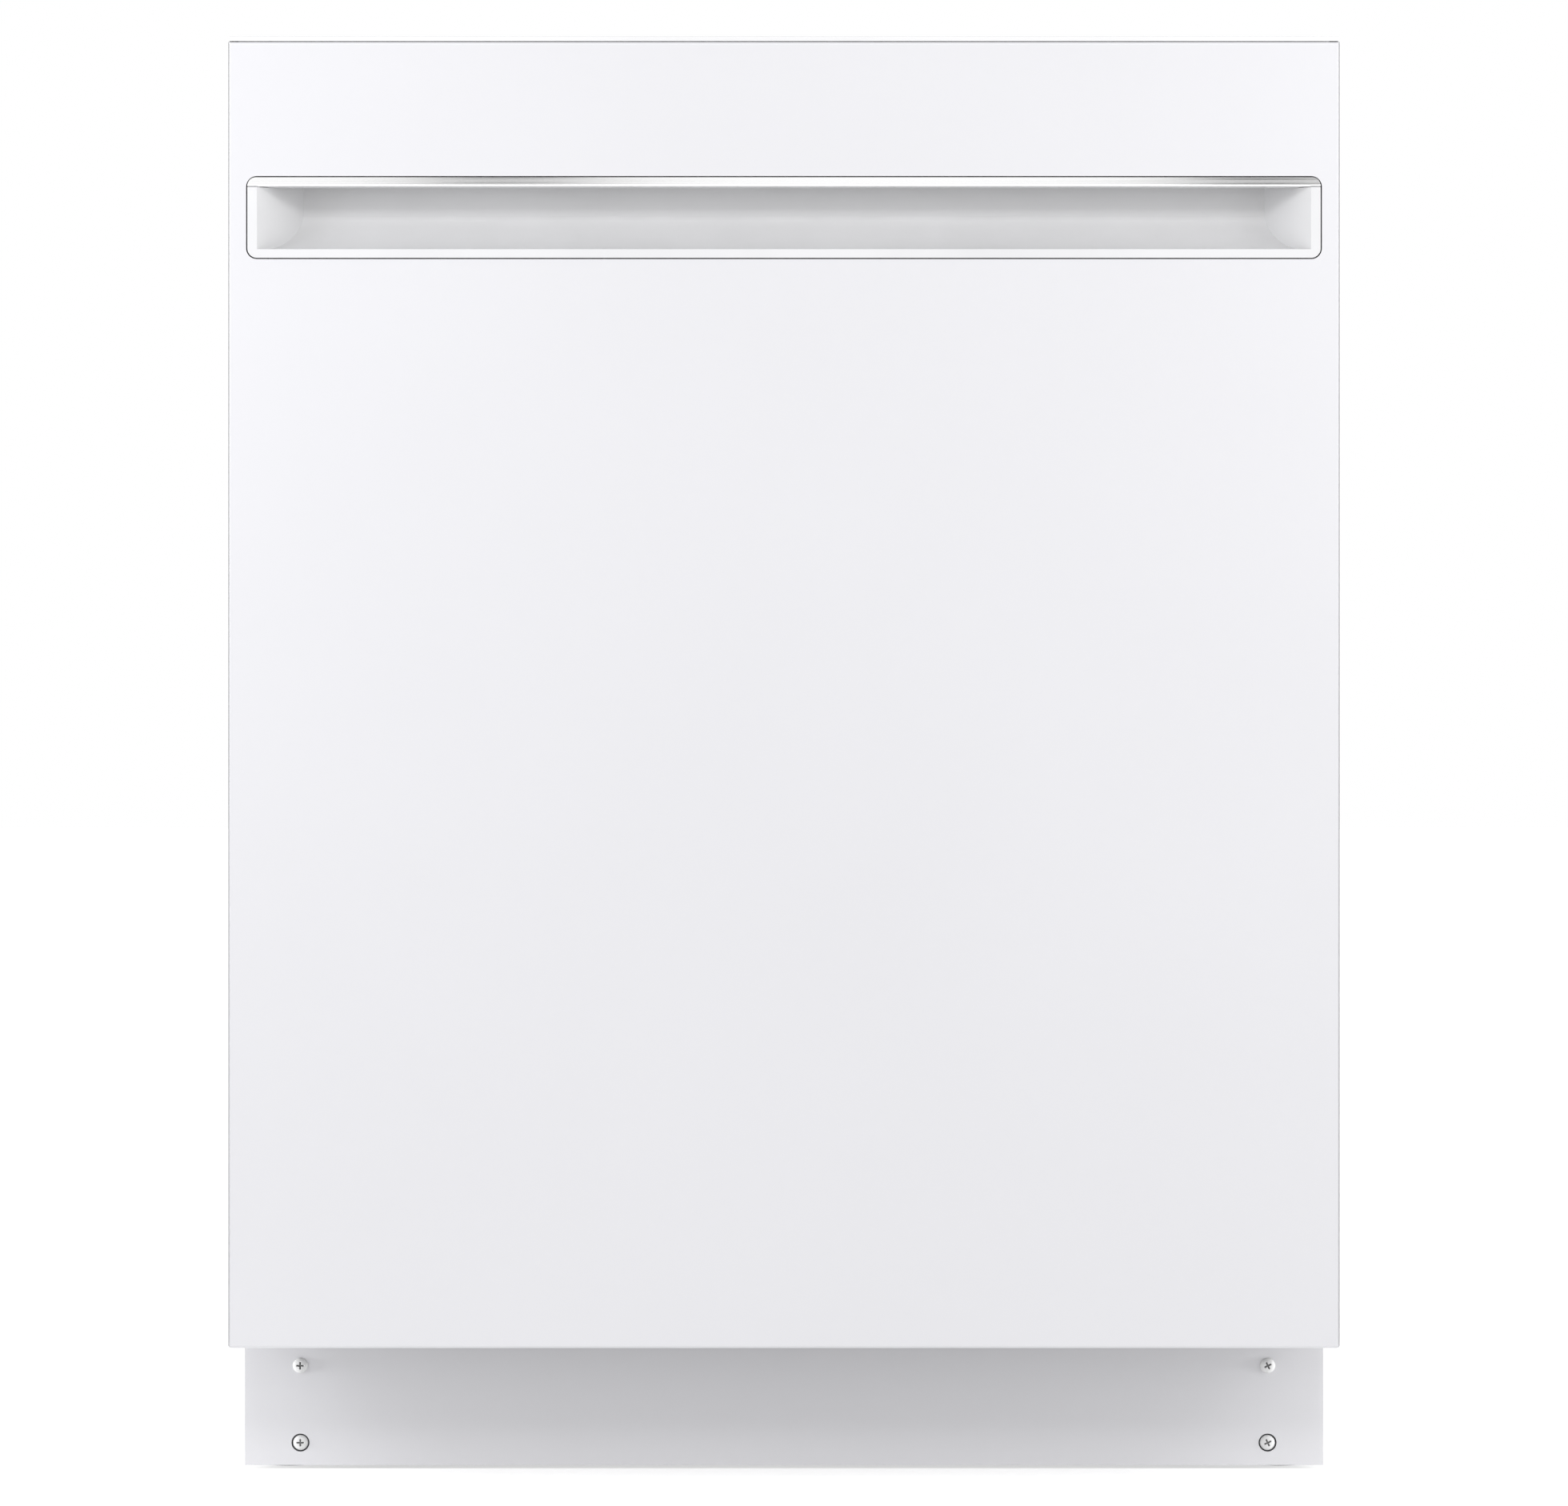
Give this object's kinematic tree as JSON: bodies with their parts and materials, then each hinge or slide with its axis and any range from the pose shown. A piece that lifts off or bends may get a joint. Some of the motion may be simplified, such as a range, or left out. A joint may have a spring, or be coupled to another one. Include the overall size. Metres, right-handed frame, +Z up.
{
  "type": "built-in dishwasher",
  "caption": "Built-in dishwasher with a drop-down pocket-handle door, hidden top controls, sliding racks, rotating spray arms and a recessed toe kick.",
  "frame": {"origin": "on the floor, under the middle of the machine's bounding box", "axes": "+Z up, the door faces -Y, X runs across the door"},
  "size_m": [0.6032, 0.61, 0.7854],
  "materials": {
    "white_enamel": "smooth white powder coat",
    "white_plastic": "satin moulded plastic",
    "polished_trim": "polished",
    "screw_white": "painted pan-head screws",
    "stainless": "brushed stainless sheet",
    "steel_screws": "zinc plated",
    "galvanised": "galvanised sheet",
    "link_steel": "zinc plated",
    "spring_steel": "spring wire",
    "rail_steel": "stainless strip",
    "collar_grey": "grey powder coat",
    "seal_rubber": "soft extruded seal",
    "felt": "recycled cotton felt",
    "element": "heat-tinted tube",
    "grey_plastic": "light grey polypropylene",
    "dispenser_plastic": "pale grey plastic",
    "cap_plastic": "blue plastic",
    "black_plastic": "glass-filled plastic",
    "filter_mesh": "fine mesh in a plastic frame",
    "float_plastic": "white polypropylene",
    "junction_steel": "zinc plated box",
    "circuit_board": "lacquered board",
    "lens_smoke": "smoked window",
    "button_grey": "satin keys",
    "rack_wire": "nylon-coated steel wire"
  },
  "bodies": {
    "chassis": {"tub_shell": "stainless", "tub_base_pan": "stainless", "tub_frame": "collar_grey", "tub_gasket": "seal_rubber", "side_frames": "galvanised", "crossmembers": "galvanised", "mounting_brackets": "galvanised", "sound_blanket": "felt", "toe_kick_panel": "white_enamel", "lower_toe_kick": "white_enamel", "kick_screws": "screw_white", "hinge_brackets": "galvanised", "door_springs": "spring_steel", "door_strike": "galvanised", "sump": "black_plastic", "circulation_pump": "black_plastic", "drain_pump": "black_plastic", "filter_plate": "stainless", "heating_element": "element", "water_conduit": "grey_plastic", "inlet_valve": "black_plastic", "junction_box": "junction_steel", "rail_channels": "rail_steel"},
    "door": {"door_outer_panel": "white_enamel", "door_inner_liner": "stainless", "door_screws": "steel_screws", "hinge_arms": "galvanised", "handle_cup": "white_plastic", "handle_trim": "polished_trim", "control_console": "white_plastic", "indicator_lens": "lens_smoke", "control_board": "circuit_board", "latch_housing": "black_plastic", "dispenser_body": "dispenser_plastic", "vent_grille": "dispenser_plastic"},
    "spring_links": {"spring_links": "link_steel"},
    "latch_pawl": {"latch_pawl": "black_plastic"},
    "dispenser_lid": {"dispenser_lid": "dispenser_plastic"},
    "rinse_cap": {"rinse_cap": "cap_plastic"},
    "upper_rack": {"upper_rack_basket": "rack_wire", "feed_tube": "grey_plastic"},
    "rail_sliders": {"rail_sliders": "rail_steel"},
    "lower_rack": {"lower_rack_basket": "rack_wire"},
    "silverware_basket": {"silverware_basket": "grey_plastic"},
    "front_wheels": {"front_wheels": "grey_plastic"},
    "rear_wheels": {"rear_wheels": "grey_plastic"},
    "fold_tines": {"fold_tines": "rack_wire"},
    "lower_spray_arm": {"lower_spray_arm": "grey_plastic"},
    "middle_spray_arm": {"middle_spray_arm": "grey_plastic"},
    "top_spray_arm": {"top_spray_arm": "grey_plastic"},
    "filter_cartridge": {"filter_cartridge": "filter_mesh"},
    "overfill_float": {"overfill_float": "float_plastic"},
    "cycle_button": {"cycle_button": "button_grey"},
    "dry_button": {"dry_button": "button_grey"},
    "delay_button": {"delay_button": "button_grey"},
    "start_button": {"start_button": "button_grey"},
    "front_left_leg": {"front_left_leg": "black_plastic"},
    "front_right_leg": {"front_right_leg": "black_plastic"},
    "rear_left_leg": {"rear_left_leg": "black_plastic"},
    "rear_right_leg": {"rear_right_leg": "black_plastic"}
  },
  "joints": [
    {"name": "door_hinge", "type": "hinge", "parent": "chassis", "child": "door", "pos_m": [0, -0.27, 0.097], "axis": [1, 0, 0], "range_deg": [0, 90], "stiffness_Nm_per_rad": 15, "springref_deg": -8.59},
    {"name": "spring_link_slide", "type": "slide", "parent": "chassis", "child": "spring_links", "axis": [0, -1, 0], "range_m": [0, 0.0508], "deforming": ["door_springs"]},
    {"name": "upper_rack_slide", "type": "slide", "parent": "chassis", "child": "upper_rack", "axis": [0, -1, 0], "range_m": [0, 0.4502]},
    {"name": "rail_slide", "type": "slide", "parent": "chassis", "child": "rail_sliders", "axis": [0, -1, 0], "range_m": [0, 0.2252]},
    {"name": "lower_rack_slide", "type": "slide", "parent": "chassis", "child": "lower_rack", "axis": [0, -1, 0], "range_m": [0, 0.1541]},
    {"name": "front_wheels_spin", "type": "hinge", "parent": "lower_rack", "child": "front_wheels", "pos_m": [0, -0.12, 0.135], "axis": [1, 0, 0], "range_deg": [0, 491]},
    {"name": "rear_wheels_spin", "type": "hinge", "parent": "lower_rack", "child": "rear_wheels", "pos_m": [0, 0.165, 0.135], "axis": [1, 0, 0], "range_deg": [0, 491]},
    {"name": "fold_tines_hinge", "type": "hinge", "parent": "lower_rack", "child": "fold_tines", "pos_m": [0, 0, 0.1597], "axis": [0, 1, 0], "range_deg": [0, 80]},
    {"name": "silverware_basket_lift", "type": "slide", "parent": "lower_rack", "child": "silverware_basket", "axis": [0, 0, 1], "range_m": [0, 0.12]},
    {"name": "lower_spray_arm_spin", "type": "hinge", "parent": "chassis", "child": "lower_spray_arm", "pos_m": [0, 0.02, 0.128], "axis": [0, 0, 1], "continuous": true},
    {"name": "middle_spray_arm_spin", "type": "hinge", "parent": "upper_rack", "child": "middle_spray_arm", "pos_m": [0, 0.02, 0.413], "axis": [0, 0, 1], "continuous": true},
    {"name": "top_spray_arm_spin", "type": "hinge", "parent": "chassis", "child": "top_spray_arm", "pos_m": [0, 0.02, 0.728], "axis": [0, 0, 1], "continuous": true},
    {"name": "filter_twist", "type": "hinge", "parent": "chassis", "child": "filter_cartridge", "pos_m": [0, -0.024, 0.098], "axis": [0, 0, 1], "range_deg": [0, 90]},
    {"name": "float_lift", "type": "slide", "parent": "chassis", "child": "overfill_float", "axis": [0, 0, 1], "range_m": [0, 0.01]},
    {"name": "latch_pawl_pivot", "type": "hinge", "parent": "door", "child": "latch_pawl", "pos_m": [0, -0.282, 0.762], "axis": [1, 0, 0], "range_deg": [-12, 0], "stiffness_Nm_per_rad": 0.05, "springref_deg": 14.32},
    {"name": "dispenser_lid_slide", "type": "slide", "parent": "door", "child": "dispenser_lid", "axis": [1, 0, 0], "range_m": [0, 0.068]},
    {"name": "rinse_cap_turn", "type": "hinge", "parent": "door", "child": "rinse_cap", "pos_m": [0.088, -0.255, 0.395], "axis": [0, 1, 0], "range_deg": [0, 90]},
    {"name": "cycle_button_press", "type": "slide", "parent": "door", "child": "cycle_button", "axis": [0, 0, -1], "range_m": [0, 0.0012], "stiffness_N_per_m": 700, "springref_m": -0.0006},
    {"name": "dry_button_press", "type": "slide", "parent": "door", "child": "dry_button", "axis": [0, 0, -1], "range_m": [0, 0.0012], "stiffness_N_per_m": 700, "springref_m": -0.0006},
    {"name": "delay_button_press", "type": "slide", "parent": "door", "child": "delay_button", "axis": [0, 0, -1], "range_m": [0, 0.0012], "stiffness_N_per_m": 700, "springref_m": -0.0006},
    {"name": "start_button_press", "type": "slide", "parent": "door", "child": "start_button", "axis": [0, 0, -1], "range_m": [0, 0.0012], "stiffness_N_per_m": 700, "springref_m": -0.0006},
    {"name": "front_left_leg_screw", "type": "slide", "parent": "chassis", "child": "front_left_leg", "axis": [0, 0, -1], "range_m": [0, 0.034]},
    {"name": "front_right_leg_screw", "type": "slide", "parent": "chassis", "child": "front_right_leg", "axis": [0, 0, -1], "range_m": [0, 0.034]},
    {"name": "rear_left_leg_screw", "type": "slide", "parent": "chassis", "child": "rear_left_leg", "axis": [0, 0, -1], "range_m": [0, 0.034]},
    {"name": "rear_right_leg_screw", "type": "slide", "parent": "chassis", "child": "rear_right_leg", "axis": [0, 0, -1], "range_m": [0, 0.034]}
  ],
  "couplings": [
    {"joint": "spring_link_slide", "follows": "door_hinge", "m_per_rad": 0.03234},
    {"joint": "upper_rack_slide", "follows": "door_hinge", "m_per_rad": 0.2865},
    {"joint": "rail_slide", "follows": "door_hinge", "m_per_rad": 0.14325},
    {"joint": "lower_rack_slide", "follows": "door_hinge", "m_per_rad": 0.098},
    {"joint": "front_wheels_spin", "follows": "door_hinge", "ratio": 5.4444},
    {"joint": "rear_wheels_spin", "follows": "door_hinge", "ratio": 5.4444}
  ]
}
